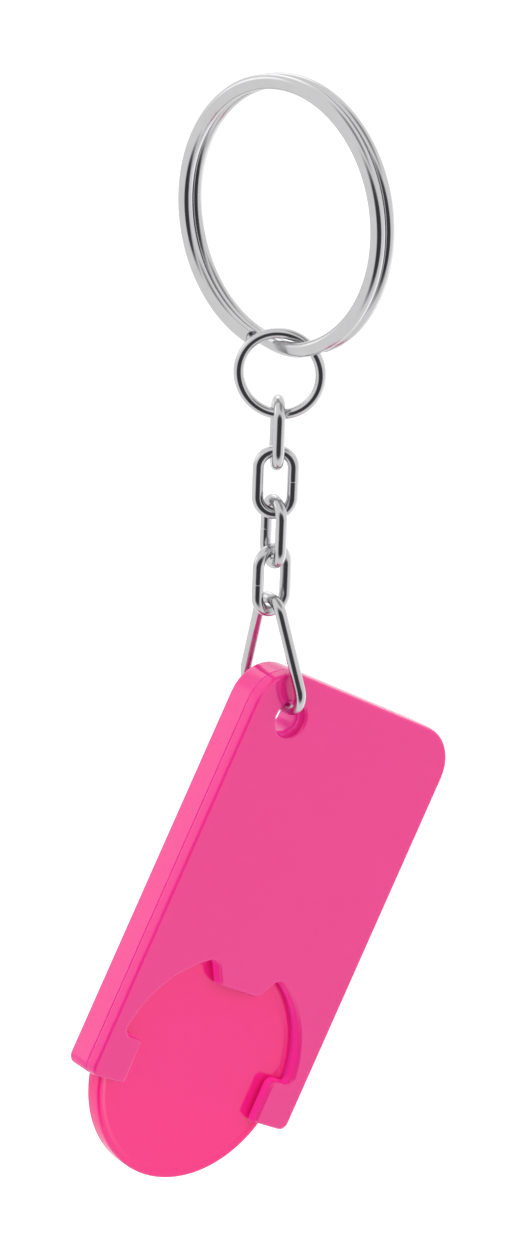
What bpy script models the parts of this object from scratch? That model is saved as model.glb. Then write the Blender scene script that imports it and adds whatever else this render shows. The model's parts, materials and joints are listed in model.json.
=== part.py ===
"""Trolley coin keyring, as an assembly of separate named pieces.

A split ring carries a jump ring, four chain links and a triangular wire bail.  The bail goes through the hole
in the corner of a flat two-part holder, and a trolley coin slides out of the holder's mouth.

Metres, +Z up.  The origin is where the keyring hangs: the inside of the split ring's top.  The chain hangs
straight down -Z, and the holder's front face looks along -Y.
"""

import math

import bmesh
import bpy
from mathutils import Matrix, Vector

# Split ring: one flat wire wound twice, with a crossing at the bottom
SPLIT_RING_INNER_RADIUS = 0.0116
SPLIT_WIRE_WIDTH = 0.00115
SPLIT_WIRE_THICKNESS = 0.00105
SPLIT_WIRE_CHAMFER = 0.00030
SPLIT_COIL_GAP = 0.00015
SPLIT_FRONT_END_DEGREES = 17.0
SPLIT_BACK_END_DEGREES = 25.0
SPLIT_RING_YAW = -82.0

# Jump ring between the split ring and the chain
JUMP_RING_INNER_DIAMETER = 0.0067
JUMP_WIRE_DIAMETER = 0.0010
JUMP_RING_YAW = -48.0
JUMP_RING_ASIDE_DEGREES = 1.2

# Chain: equal oval links, each turned its own way about the chain's line
LINK_INNER_LENGTH = 0.0050
LINK_INNER_WIDTH = 0.00215
LINK_WIRE_DIAMETER = 0.0011
LINK_YAWS = (58.0, -36.0, -102.0, 0.0)

# Bail: a closed wire triangle, measured on its wire's middle line
BAIL_HEIGHT = 0.0106
BAIL_WIRE_DIAMETER = 0.0011
BAIL_APEX_RADIUS = 0.00175
BAIL_CORNER_RADIUS = 0.0019
BAIL_EDGE_CLEARANCE = 0.0002
BAIL_YAW = -90.0
BAIL_LEAN = 5.0

# How the pieces hang on each other
HANG_GAP = 0.0002
HOLDER_SHIFT_ON_BAIL = 0.0008
HOLDER_TILT = 28.0

# Trolley coin
COIN_DIAMETER = 0.02325
COIN_THICKNESS = 0.00185
COIN_EDGE_ROUNDING = 0.00038
COIN_RIM_WIDTH = 0.0009
COIN_FACE_RECESS = 0.00015

# Holder: a back tray with the coin's pocket, and a front cover with the thumb window
POCKET_SIDE_CLEARANCE = 0.00035
POCKET_FACE_CLEARANCE = 0.00025
HOLDER_SIDE_WALL = 0.001525
HOLDER_FLOOR = 0.0005
COVER_THICKNESS = 0.00115
HOLDER_TOP_ABOVE_COIN = 0.0391
HOLDER_MOUTH_BELOW_COIN = 0.0035
HOLDER_TOP_CORNER_RADIUS = 0.0042
HOLDER_MOUTH_CORNER_RADIUS = 0.0010
HOLDER_EDGE_ROUNDING = 0.00035
SEAM_GAP = 0.00025

# Hole for the bail, in the holder's top left corner
HOLE_DIAMETER = 0.0041
HOLE_SIDE_INSET = 0.0052
HOLE_TOP_INSET = 0.0047

# Thumb window in the cover, round the coin's middle
WINDOW_LAP = 0.000275
TAB_OVERLAP = 0.002725
TAB_TOP_ABOVE_COIN = 0.00125
TAB_INNER_RADIUS = 0.0008
TAB_MOUTH_RADIUS = 0.0006
WINDOW_NOTCH_RADIUS = 0.0004
TONGUE_LENGTH = 0.0036
TONGUE_ROOT_WIDTH = 0.0087
TONGUE_TIP_WIDTH = 0.0050
TONGUE_TIP_RADIUS = 0.0005
TONGUE_ROOT_RADIUS = 0.0005

# Pegs that join the cover to the tray
PEG_DIAMETER = 0.0020
PEG_LENGTH = 0.0014
PEG_CLEARANCE = 0.00025
PEG_EDGE_INSET = 0.0042
PEG_ABOVE_POCKET = 0.0040

# Modelling steps
SPLIT_RING_STEPS = 96
RING_SEGMENTS = 40
WIRE_SEGMENTS = 8
WIRE_RESOLUTION = 2
ARC_STEP_DEGREES = 15.0
WINDOW_STEP_DEGREES = 6.0
COIN_SEGMENTS = 72
HOLE_SEGMENTS = 32
EDGE_SEGMENTS = 2
CUT_OVERRUN = 0.0010
WELD_DISTANCE = 0.000001
SMOOTH_ANGLE = math.radians(30)

# Colours, roughness and metal
PLASTIC_PINK = (0.87, 0.045, 0.24, 1.0)
COIN_PINK = (0.93, 0.035, 0.23, 1.0)
NICKEL = (0.72, 0.72, 0.73, 1.0)

# Places worked out from the sizes above
COIN_RADIUS = COIN_DIAMETER / 2
JUMP_RING_RADIUS = (JUMP_RING_INNER_DIAMETER + JUMP_WIRE_DIAMETER) / 2
LINK_HALF_LENGTH = (LINK_INNER_LENGTH + LINK_WIRE_DIAMETER) / 2
LINK_HALF_WIDTH = (LINK_INNER_WIDTH + LINK_WIRE_DIAMETER) / 2
SPLIT_WIRE_MIDDLE_RADIUS = SPLIT_RING_INNER_RADIUS + SPLIT_WIRE_WIDTH / 2
SPLIT_COIL_OFFSET = (SPLIT_WIRE_THICKNESS + SPLIT_COIL_GAP) / 2
POCKET_HALF_WIDTH = COIN_RADIUS + POCKET_SIDE_CLEARANCE
HOLDER_HALF_WIDTH = POCKET_HALF_WIDTH + HOLDER_SIDE_WALL
COIN_SPACE = COIN_THICKNESS + 2 * POCKET_FACE_CLEARANCE
HOLDER_THICKNESS = HOLDER_FLOOR + COIN_SPACE + COVER_THICKNESS
BACK_FACE = -HOLDER_THICKNESS / 2
FRONT_FACE = HOLDER_THICKNESS / 2
POCKET_FLOOR = BACK_FACE + HOLDER_FLOOR
COVER_UNDERSIDE = FRONT_FACE - COVER_THICKNESS
TRAY_RIM = COVER_UNDERSIDE - SEAM_GAP
COIN_MIDDLE = POCKET_FLOOR + POCKET_FACE_CLEARANCE + COIN_THICKNESS / 2
HOLE_CENTRE = Vector((HOLE_SIDE_INSET - HOLDER_HALF_WIDTH, HOLDER_TOP_ABOVE_COIN - HOLE_TOP_INSET))
PIN_ABOVE_HOLE_CENTRE = (HOLE_DIAMETER - BAIL_WIRE_DIAMETER) / 2 - HANG_GAP
WINDOW_RADIUS = COIN_RADIUS + WINDOW_LAP
TAB_INNER_SIDE = COIN_RADIUS - TAB_OVERLAP


# Helpers


def make_collection(name):
    """A collection linked to the scene."""
    collection = bpy.data.collections.new(name)
    bpy.context.scene.collection.children.link(collection)
    return collection


def move_to(obj, collection):
    """Keeps an object in one collection only."""
    for old in list(obj.users_collection):
        old.objects.unlink(obj)
    collection.objects.link(obj)
    return obj


def make_material(name, colour, roughness, metallic):
    """A Principled material with the piece's plain colour."""
    material = bpy.data.materials.new(name)
    material.use_nodes = True
    shader = material.node_tree.nodes["Principled BSDF"]
    shader.inputs["Base Color"].default_value = colour
    shader.inputs["Roughness"].default_value = roughness
    shader.inputs["Metallic"].default_value = metallic
    return material


def arc_points(centre, radius, start, end, step_degrees):
    """Points on an arc from one angle to another, both ends included."""
    count = max(2, round(abs(end - start) / math.radians(step_degrees)))
    angles = [start + (end - start) * i / count for i in range(count + 1)]
    return [centre + radius * Vector((math.cos(angle), math.sin(angle))) for angle in angles]


def rounded_outline(corners):
    """A closed outline from (point, rounding radius) corners."""
    points = []
    for i, (corner, radius) in enumerate(corners):
        before = (corners[i - 1][0] - corner).normalized()
        after = (corners[(i + 1) % len(corners)][0] - corner).normalized()
        half = before.angle(after) / 2
        if radius == 0:
            points.append(corner)
            continue
        centre = corner + (before + after).normalized() * radius / math.sin(half)
        first = corner + before * radius / math.tan(half) - centre
        last = corner + after * radius / math.tan(half) - centre
        start = math.atan2(first.y, first.x)
        turn = math.atan2(first.x * last.y - first.y * last.x, first.dot(last))
        points += arc_points(centre, radius, start, start + turn, ARC_STEP_DEGREES)
    return [p for i, p in enumerate(points) if (p - points[i - 1]).length > WELD_DISTANCE]


def add_spline(curve, points, cyclic):
    """A straight-segment spline through 2D or 3D points."""
    spline = curve.splines.new("POLY")
    spline.points.add(len(points) - 1)
    for target, point in zip(spline.points, points):
        target.co = (*point.to_3d(), 1.0)
    spline.use_cyclic_u = cyclic


def wire_loop(name, points, diameter):
    """A closed wire whose middle line is a flat outline."""
    curve = bpy.data.curves.new(name, "CURVE")
    curve.dimensions = "3D"
    curve.bevel_depth = diameter / 2
    curve.bevel_resolution = WIRE_RESOLUTION
    add_spline(curve, points, cyclic=True)
    return bpy.data.objects.new(name, curve)


def flat_plate(name, outlines, bottom, top):
    """A mesh plate between two heights; later outlines are holes in the first."""
    curve = bpy.data.curves.new(name, "CURVE")
    curve.dimensions = "2D"
    curve.fill_mode = "BOTH"
    curve.extrude = (top - bottom) / 2
    for outline in outlines:
        add_spline(curve, outline, cyclic=True)
    source = bpy.data.objects.new(name, curve)
    bpy.context.scene.collection.objects.link(source)
    graph = bpy.context.evaluated_depsgraph_get()
    mesh = bpy.data.meshes.new_from_object(source.evaluated_get(graph), depsgraph=graph)
    bpy.data.objects.remove(source)
    bpy.data.curves.remove(curve)
    mesh.transform(Matrix.Translation((0, 0, (top + bottom) / 2)))
    bm = bmesh.new()
    bm.from_mesh(mesh)
    bmesh.ops.remove_doubles(bm, verts=bm.verts, dist=WELD_DISTANCE)
    bmesh.ops.recalc_face_normals(bm, faces=bm.faces)
    bm.to_mesh(mesh)
    bm.free()
    mesh.name = name
    return bpy.data.objects.new(name, mesh)


def round_rim(obj, height, radius):
    """Rounds the edges where a plate's walls meet its face at one height."""
    bm = bmesh.new()
    bm.from_mesh(obj.data)
    on_face = {v for v in bm.verts if abs(v.co.z - height) < WELD_DISTANCE}
    rim = [e for e in bm.edges if on_face.issuperset(e.verts) and e.calc_face_angle(0) > SMOOTH_ANGLE]
    bmesh.ops.bevel(bm, geom=rim, offset=radius, segments=EDGE_SEGMENTS, profile=0.5, affect="EDGES", material=-1)
    bm.to_mesh(obj.data)
    bm.free()


def add_boolean(obj, tool, operation):
    """Cuts with a tool, or joins it on."""
    modifier = obj.modifiers.new(f"{operation.lower()} {tool.name}", "BOOLEAN")
    modifier.operation = operation
    modifier.solver = "EXACT"
    modifier.object = tool
    tool.hide_render = True
    tool.display_type = "WIRE"
    tool.parent = obj


def cylinder(name, centre, diameter, bottom, top, segments, collection):
    """An upright cylinder between two heights."""
    bpy.ops.mesh.primitive_cylinder_add(vertices=segments, radius=diameter / 2, depth=top - bottom)
    obj = bpy.context.object
    obj.name = name
    obj.data.transform(Matrix.Translation((centre.x, centre.y, (top + bottom) / 2)))
    return move_to(obj, collection)


def finish(obj, material, smooth_angle=SMOOTH_ANGLE):
    """Gives a piece its material and smooth shading with sharp edges."""
    obj.data.materials.clear()
    obj.data.materials.append(material)
    if obj.type == "MESH":
        obj.data.shade_smooth()
        obj.data.set_sharp_from_angle(angle=smooth_angle)
    return obj


# Wire pieces, each with its origin on the wire that it hangs on


def contact_distance(upper_wire, lower_wire):
    """Distance between the middle lines of two wires that hang on each other."""
    return upper_wire / 2 + lower_wire / 2 + HANG_GAP


def split_ring_point(turned):
    """A point of the wound wire's middle line, turned clockwise from the bottom as the front shows it."""
    crossing = 2 * math.pi - math.radians(SPLIT_BACK_END_DEGREES)
    span = math.radians(SPLIT_FRONT_END_DEGREES + SPLIT_BACK_END_DEGREES)
    t = min(1.0, max(0.0, (turned - crossing) / span))
    ease = t * t * (3 - 2 * t)
    radius = SPLIT_WIRE_MIDDLE_RADIUS
    return Vector((-radius * math.sin(turned), -radius * math.cos(turned), SPLIT_COIL_OFFSET * (1 - 2 * ease)))


def split_wire_section():
    """Half width and half thickness corners of the flat wire, chamfered."""
    across = SPLIT_WIRE_WIDTH / 2
    along = SPLIT_WIRE_THICKNESS / 2
    cut = SPLIT_WIRE_CHAMFER
    corners = [(-across, along - cut), (cut - across, along), (across - cut, along), (across, along - cut)]
    corners += [(-x, -y) for x, y in corners]
    return [Vector(c) for c in corners]


def make_split_ring(cutters, material):
    """The flat wire, wound twice from the front's cut end to the back's."""
    section = bpy.data.curves.new("split_ring_section", "CURVE")
    section.dimensions = "2D"
    add_spline(section, split_wire_section(), cyclic=True)
    section_object = bpy.data.objects.new("split_ring_section", section)
    section_object.hide_render = True
    section_object.display_type = "WIRE"
    cutters.objects.link(section_object)

    first = math.radians(SPLIT_FRONT_END_DEGREES)
    last = 4 * math.pi - math.radians(SPLIT_BACK_END_DEGREES)
    curve = bpy.data.curves.new("split_ring", "CURVE")
    curve.dimensions = "3D"
    curve.twist_mode = "Z_UP"
    curve.bevel_mode = "OBJECT"
    curve.bevel_object = section_object
    curve.use_fill_caps = True
    steps = range(SPLIT_RING_STEPS + 1)
    add_spline(curve, [split_ring_point(first + (last - first) * i / SPLIT_RING_STEPS) for i in steps], cyclic=False)
    return finish(bpy.data.objects.new("split_ring", curve), material)


def make_jump_ring(material):
    """A round ring that hangs from its local origin."""
    bpy.ops.mesh.primitive_torus_add(
        major_radius=JUMP_RING_RADIUS,
        minor_radius=JUMP_WIRE_DIAMETER / 2,
        major_segments=RING_SEGMENTS,
        minor_segments=WIRE_SEGMENTS,
    )
    ring = bpy.context.object
    ring.name = "jump_ring"
    rise = contact_distance(SPLIT_WIRE_WIDTH, JUMP_WIRE_DIAMETER)
    ring.data.transform(Matrix.Translation((0, rise - JUMP_RING_RADIUS, 0)))
    return finish(ring, material, smooth_angle=math.pi)


def make_link(name, upper_wire, material):
    """An oval link that hangs from its local origin."""
    middle = contact_distance(upper_wire, LINK_WIRE_DIAMETER) - LINK_HALF_LENGTH
    corners = [
        (Vector((x * LINK_HALF_WIDTH, middle + y * LINK_HALF_LENGTH)), LINK_HALF_WIDTH)
        for x, y in ((1, 1), (-1, 1), (-1, -1), (1, -1))
    ]
    return finish(wire_loop(name, rounded_outline(corners), LINK_WIRE_DIAMETER), material)


def make_bail(material):
    """A wire triangle with its point up, hanging from its local origin.

    Each leg runs from the round apex past the holder's top edge, so the base follows from both.
    """
    edge_out = HOLDER_THICKNESS / 2 + HOLDER_SHIFT_ON_BAIL
    edge_up = HOLE_TOP_INSET / math.cos(math.radians(HOLDER_TILT)) - PIN_ABOVE_HOLE_CENTRE
    edge_distance = BAIL_EDGE_CLEARANCE + BAIL_WIRE_DIAMETER / 2
    apex_centre = BAIL_HEIGHT - BAIL_APEX_RADIUS
    edge_down = apex_centre - edge_up
    reach = math.hypot(edge_out, edge_down)
    leg_lean = math.acos((BAIL_APEX_RADIUS - edge_distance) / reach) - math.atan2(edge_down, edge_out)
    half_base = (BAIL_APEX_RADIUS + apex_centre * math.sin(leg_lean)) / math.cos(leg_lean)

    base = contact_distance(LINK_WIRE_DIAMETER, BAIL_WIRE_DIAMETER) - BAIL_HEIGHT
    peak = base + half_base / math.tan(leg_lean)
    corners = [
        (Vector((0, peak)), BAIL_APEX_RADIUS),
        (Vector((-half_base, base)), BAIL_CORNER_RADIUS),
        (Vector((half_base, base)), BAIL_CORNER_RADIUS),
    ]
    return finish(wire_loop("bail", rounded_outline(corners), BAIL_WIRE_DIAMETER), material)


# Holder and coin, in the holder's plane: X across, Y up, Z to the front, zero at the coin's middle


def holder_outline():
    """The holder's outer outline, anticlockwise from the mouth's right corner."""
    side = HOLDER_HALF_WIDTH
    top = HOLDER_TOP_ABOVE_COIN
    mouth = -HOLDER_MOUTH_BELOW_COIN
    return [
        (Vector((side, mouth)), HOLDER_MOUTH_CORNER_RADIUS),
        (Vector((side, top)), HOLDER_TOP_CORNER_RADIUS),
        (Vector((-side, top)), HOLDER_TOP_CORNER_RADIUS),
        (Vector((-side, mouth)), HOLDER_MOUTH_CORNER_RADIUS),
    ]


def hole_outline():
    """The round hole for the bail."""
    turn = 2 * math.pi
    return arc_points(HOLE_CENTRE, HOLE_DIAMETER / 2, 0, turn, math.degrees(turn) / HOLE_SEGMENTS)[:-1]


def window_corners():
    """The thumb window, from the left tab's mouth corner round to the right tab's."""
    mouth = -HOLDER_MOUTH_BELOW_COIN
    tab_angle = math.asin(TAB_TOP_ABOVE_COIN / WINDOW_RADIUS)
    root_angle = math.acos(TONGUE_ROOT_WIDTH / 2 / WINDOW_RADIUS)
    arc = arc_points(Vector((0, 0)), WINDOW_RADIUS, tab_angle, root_angle, WINDOW_STEP_DEGREES)
    right = [
        (Vector((TAB_INNER_SIDE, mouth)), TAB_MOUTH_RADIUS),
        (Vector((TAB_INNER_SIDE, TAB_TOP_ABOVE_COIN)), TAB_INNER_RADIUS),
        (arc[0], WINDOW_NOTCH_RADIUS),
        *[(point, 0) for point in arc[1:-1]],
        (arc[-1], TONGUE_ROOT_RADIUS),
        (Vector((TONGUE_TIP_WIDTH / 2, WINDOW_RADIUS - TONGUE_LENGTH)), TONGUE_TIP_RADIUS),
    ]
    left = [(Vector((-point.x, point.y)), radius) for point, radius in right]
    return left + right[::-1]


def peg_centres():
    """Two pegs in line above the pocket and one in the free top corner."""
    side = HOLDER_HALF_WIDTH - PEG_EDGE_INSET
    above_pocket = POCKET_HALF_WIDTH + PEG_ABOVE_POCKET
    return [
        Vector((-side, above_pocket)),
        Vector((side, above_pocket)),
        Vector((side, HOLDER_TOP_ABOVE_COIN - PEG_EDGE_INSET)),
    ]


def make_tray(parts, cutters, material):
    """The back half: a tray whose pocket is open at the mouth and at the front."""
    tray = flat_plate("holder_back", [rounded_outline(holder_outline()), hole_outline()], BACK_FACE, TRAY_RIM)
    round_rim(tray, BACK_FACE, HOLDER_EDGE_ROUNDING)
    parts.objects.link(tray)

    side = POCKET_HALF_WIDTH
    mouth = -HOLDER_MOUTH_BELOW_COIN - CUT_OVERRUN
    end = arc_points(Vector((0, 0)), side, 0, math.pi, WINDOW_STEP_DEGREES)
    pocket = flat_plate(
        "pocket_cutter", [[Vector((-side, mouth)), Vector((side, mouth)), *end]], POCKET_FLOOR, TRAY_RIM + CUT_OVERRUN
    )
    cutters.objects.link(pocket)
    add_boolean(tray, pocket, "DIFFERENCE")

    for number, centre in enumerate(peg_centres(), 1):
        socket = cylinder(
            f"socket_cutter_{number}",
            centre,
            PEG_DIAMETER + 2 * PEG_CLEARANCE,
            COVER_UNDERSIDE - PEG_LENGTH - PEG_CLEARANCE,
            TRAY_RIM + CUT_OVERRUN,
            WIRE_SEGMENTS * 2,
            cutters,
        )
        add_boolean(tray, socket, "DIFFERENCE")
    return finish(tray, material)


def make_cover(parts, cutters, material):
    """The front half: a cover with the window, its two tabs and tongue, and the pegs under it."""
    outline = rounded_outline(holder_outline() + window_corners())
    cover = flat_plate("holder_front", [outline, hole_outline()], COVER_UNDERSIDE, FRONT_FACE)
    round_rim(cover, FRONT_FACE, HOLDER_EDGE_ROUNDING)
    parts.objects.link(cover)
    for number, centre in enumerate(peg_centres(), 1):
        peg = cylinder(
            f"peg_{number}",
            centre,
            PEG_DIAMETER,
            COVER_UNDERSIDE - PEG_LENGTH,
            COVER_UNDERSIDE + COVER_THICKNESS / 2,
            WIRE_SEGMENTS * 2,
            cutters,
        )
        add_boolean(cover, peg, "UNION")
    return finish(cover, material)


def make_coin(parts, material):
    """A disc turned from its section: sunk faces, a soft raised rim and a rounded edge."""
    rim_height = COIN_THICKNESS / 2
    face_height = rim_height - COIN_FACE_RECESS
    crest = COIN_RADIUS - COIN_EDGE_ROUNDING
    edge_centre = Vector((crest, rim_height - COIN_EDGE_ROUNDING))
    edge = arc_points(edge_centre, COIN_EDGE_ROUNDING, math.pi / 2, 0, ARC_STEP_DEGREES * 2)
    upper = [Vector((0, face_height)), Vector((crest - COIN_RIM_WIDTH, face_height)), *edge]
    section = upper + [Vector((point.x, -point.y)) for point in reversed(upper)]

    mesh = bpy.data.meshes.new("trolley_coin")
    bm = bmesh.new()
    verts = [bm.verts.new((point.x, 0, point.y)) for point in section]
    for a, b in zip(verts, verts[1:]):
        bm.edges.new((a, b))
    bm.to_mesh(mesh)
    bm.free()
    coin = bpy.data.objects.new("trolley_coin", mesh)
    parts.objects.link(coin)
    turned = coin.modifiers.new("turned", "SCREW")
    turned.axis = "Z"
    turned.angle = 2 * math.pi
    turned.steps = COIN_SEGMENTS
    turned.render_steps = COIN_SEGMENTS
    turned.use_merge_vertices = True
    turned.merge_threshold = WELD_DISTANCE
    turned.use_smooth_shade = True
    mesh.materials.append(material)
    return coin


# Assembly


def hang(obj, parts, place, yaw, lean=0.0):
    """Stands a flat wire piece upright at its hanging point, turned about the chain's line."""
    move_to(obj, parts)
    obj.location = place
    obj.rotation_euler = (math.radians(90 + lean), 0, math.radians(yaw))


def main():
    for old in list(bpy.data.objects):
        bpy.data.objects.remove(old)
    parts = make_collection("trolley_coin_keyring")
    cutters = make_collection("cutters")

    place = Vector((0, 0, -SPLIT_RING_INNER_RADIUS))
    split_ring = make_split_ring(cutters, make_material("split_ring_nickel", NICKEL, 0.2, 1.0))
    hang(split_ring, parts, place, SPLIT_RING_YAW)

    aside = math.radians(JUMP_RING_ASIDE_DEGREES)
    across = SPLIT_WIRE_MIDDLE_RADIUS * math.sin(aside)
    ring_yaw = math.radians(SPLIT_RING_YAW)
    down = SPLIT_WIRE_MIDDLE_RADIUS * math.cos(aside)
    place += Vector((across * math.cos(ring_yaw), across * math.sin(ring_yaw), -down))
    hang(make_jump_ring(make_material("jump_ring_nickel", NICKEL, 0.2, 1.0)), parts, place, JUMP_RING_YAW)

    place.z += contact_distance(SPLIT_WIRE_WIDTH, JUMP_WIRE_DIAMETER)
    place.z -= 2 * JUMP_RING_RADIUS
    upper_wire = JUMP_WIRE_DIAMETER
    for number, yaw in enumerate(LINK_YAWS, 1):
        material = make_material(f"chain_link_{number}_nickel", NICKEL, 0.2, 1.0)
        hang(make_link(f"chain_link_{number}", upper_wire, material), parts, place, yaw)
        place.z += contact_distance(upper_wire, LINK_WIRE_DIAMETER) - 2 * LINK_HALF_LENGTH
        upper_wire = LINK_WIRE_DIAMETER

    hang(make_bail(make_material("bail_nickel", NICKEL, 0.2, 1.0)), parts, place, BAIL_YAW, BAIL_LEAN)

    drop = BAIL_HEIGHT - contact_distance(LINK_WIRE_DIAMETER, BAIL_WIRE_DIAMETER)
    lean = math.radians(BAIL_LEAN)
    pin = place + Vector((drop * math.sin(lean), -HOLDER_SHIFT_ON_BAIL, -drop * math.cos(lean)))
    swing = bpy.data.objects.new("holder_swing", None)
    parts.objects.link(swing)
    swing.location = pin
    swing.rotation_euler = (0, math.radians(HOLDER_TILT), 0)

    tilt = math.radians(HOLDER_TILT)
    pin_in_holder = HOLE_CENTRE + PIN_ABOVE_HOLE_CENTRE * Vector((-math.sin(tilt), math.cos(tilt)))
    tray = make_tray(parts, cutters, make_material("holder_back_plastic", PLASTIC_PINK, 0.25, 0.0))
    cover = make_cover(parts, cutters, make_material("holder_front_plastic", PLASTIC_PINK, 0.25, 0.0))
    coin = make_coin(parts, make_material("trolley_coin_plastic", COIN_PINK, 0.22, 0.0))
    for piece, height in ((tray, 0.0), (cover, 0.0), (coin, COIN_MIDDLE)):
        piece.parent = swing
        piece.location = (-pin_in_holder.x, -height, -pin_in_holder.y)
        piece.rotation_euler = (math.radians(90), 0, 0)


main()
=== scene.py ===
"""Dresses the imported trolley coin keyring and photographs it.

Every node of the frame is replaced by a fine piece of the same place and size: drawn wires for the metal, filled and
rounded mouldings for the holder and a turned disc for the coin.  Metres, +Z up, in the frame's own coordinates.
"""

import json
import logging
import math
import sys
from dataclasses import dataclass, replace
from enum import Enum
from itertools import accumulate, pairwise
from typing import Iterable

import bmesh
import bpy
from bmesh.types import BMEdge, BMesh, BMFace, BMVert
from bpy.types import Material, Node, NodeSocket, NodeTree, Object, Scene
from mathutils import Euler, Matrix, Vector

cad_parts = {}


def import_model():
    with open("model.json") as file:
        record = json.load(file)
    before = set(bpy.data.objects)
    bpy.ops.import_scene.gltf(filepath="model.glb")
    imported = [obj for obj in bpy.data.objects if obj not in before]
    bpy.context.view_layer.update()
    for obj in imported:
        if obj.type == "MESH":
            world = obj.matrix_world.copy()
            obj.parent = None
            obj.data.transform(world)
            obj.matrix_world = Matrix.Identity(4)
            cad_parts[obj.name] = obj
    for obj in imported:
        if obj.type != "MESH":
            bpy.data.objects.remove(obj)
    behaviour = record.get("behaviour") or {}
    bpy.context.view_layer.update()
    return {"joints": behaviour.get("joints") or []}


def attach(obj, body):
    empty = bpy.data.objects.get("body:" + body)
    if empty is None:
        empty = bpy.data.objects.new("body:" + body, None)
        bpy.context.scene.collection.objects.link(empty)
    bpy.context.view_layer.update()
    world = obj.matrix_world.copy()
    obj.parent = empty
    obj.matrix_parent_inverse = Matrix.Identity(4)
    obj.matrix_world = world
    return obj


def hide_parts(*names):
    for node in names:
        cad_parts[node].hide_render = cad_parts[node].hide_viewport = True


LOG = logging.getLogger("keyring")
MM = 0.001
QUARTER = math.pi / 2
WHITE = "#ffffff"
BLACK = "#000000"

# Attribute with a wire's points as they lie when it is straightened
STRAIGHT = "straight"
# Attribute with the share of painted light, an emission that lifts the shade on a recess wall
PAINTED_RECESS_LIGHT = "recess"
# Points nearer than this are one point
WELD = 0.001 * MM
# Edges that turn further than this stay sharp
SHARP = math.radians(38)
# The stretch of a noise's range that turns into wear
NOISE_LOW = 0.35
NOISE_HIGH = 0.75


class Slot(Enum):
    """Material slots of the record."""

    RING_NICKEL = "ring_nickel"
    CHAIN_NICKEL = "chain_nickel"
    HOLDER_PLASTIC = "holder_plastic"
    COIN_PLASTIC = "coin_plastic"


class Joint(Enum):
    """Joints whose place is where a piece hangs."""

    JUMP_RING = "jump_ring_swing"
    LINK_1 = "chain_link_1_swing"
    LINK_2 = "chain_link_2_swing"
    LINK_3 = "chain_link_3_swing"
    LINK_4 = "chain_link_4_swing"
    BAIL = "bail_swing"
    HOLDER = "holder_swing"


# Node helpers


def linear(code: str) -> tuple[float, float, float, float]:
    """Turns an sRGB hex colour into a linear one.

    Args:
        code: Colour as "#rrggbb".

    Returns:
        Red, green, blue and an alpha of one.
    """
    parts = [int(code[i : i + 2], 16) / 255 for i in (1, 3, 5)]
    turned = [c / 12.92 if c <= 0.04045 else ((c + 0.055) / 1.055) ** 2.4 for c in parts]
    return (*turned, 1.0)


def add_node(
    tree: NodeTree,
    kind: str,
    settings: dict[str | int, object] | None = None,
    links: dict[str | int, NodeSocket] | None = None,
) -> Node:
    """Adds a shader node with its settings and its incoming links.

    Args:
        tree: Node tree that gets the node.
        kind: Blender's name for the node's type, after "ShaderNode".
        settings: Values by property name, or by input socket name or number.
        links: Output sockets by input socket name or number.

    Returns:
        The new node.
    """
    node = tree.nodes.new(f"ShaderNode{kind}")
    for key, value in (settings or {}).items():
        if isinstance(key, str) and hasattr(node, key):
            setattr(node, key, value)
        else:
            node.inputs[key].default_value = value
    for key, socket in (links or {}).items():
        tree.links.new(socket, node.inputs[key])
    return node


def empty_material(name: str) -> tuple[Material, NodeTree, Node]:
    """Makes a material that holds only its output.

    Args:
        name: Material name.

    Returns:
        The material, its node tree and the output node.
    """
    material = bpy.data.materials.new(name)
    material.use_nodes = True
    material.node_tree.nodes.clear()
    return material, material.node_tree, add_node(material.node_tree, "OutputMaterial")


# Finishes


@dataclass(frozen=True)
class NickelPlate:
    """Bright nickel plate over drawn steel wire.

    The plate is a mirror.  The drawing die leaves hair-fine lines along the wire that the plate only half levels, and
    handling dulls it in patches, which shows as a soft change in how sharp the reflections are.
    """

    name: str
    colour: str = "#cfcfd1"
    worn_colour: str = "#c4c3c4"
    sharp: float = 0.12
    dulled: float = 0.20
    # Real drawing lines are about 0.02 mm apart and too fine to show, so they are drawn coarser
    line_spacing: float = 0.07 * MM
    line_length: float = 6.0 * MM
    line_depth: float = 0.0005 * MM
    line_strength: float = 0.5
    # Fingers and keys dull spots that are a wire or two wide
    patch: float = 2.2 * MM

    def make(self) -> Material:
        """Builds the material.

        Returns:
            The plate's material.
        """
        material, tree, output = empty_material(self.name)
        straight = add_node(tree, "Attribute", {"attribute_name": STRAIGHT}).outputs["Vector"]
        across, along = 1 / self.line_spacing, 1 / self.line_length
        drawn = add_node(tree, "Mapping", {"Scale": (across, across, along)}, {"Vector": straight})
        lines = add_node(tree, "TexNoise", {"Scale": 1.0, "Detail": 2.0}, {"Vector": drawn.outputs["Vector"]})
        ridges = {"Strength": self.line_strength, "Distance": self.line_depth}
        bump = add_node(tree, "Bump", ridges, {"Height": lines.outputs["Fac"]})
        place = add_node(tree, "TexCoord").outputs["Object"]
        spots = {"Scale": 1 / self.patch, "Detail": 3.0, "Roughness": 0.6}
        patches = add_node(tree, "TexNoise", spots, {"Vector": place}).outputs["Fac"]
        wear = {"From Min": NOISE_LOW, "From Max": NOISE_HIGH, "To Min": self.sharp, "To Max": self.dulled}
        dull = add_node(tree, "MapRange", wear, {"Value": patches})
        colours = {"data_type": "RGBA", 6: linear(self.colour), 7: linear(self.worn_colour)}
        tone = add_node(tree, "Mix", colours, {0: patches})
        inputs = {"Base Color": tone.outputs[2], "Roughness": dull.outputs["Result"], "Normal": bump.outputs["Normal"]}
        shader = add_node(tree, "BsdfPrincipled", {"Metallic": 1.0}, inputs)
        tree.links.new(shader.outputs["BSDF"], output.inputs["Surface"])
        return material


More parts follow.
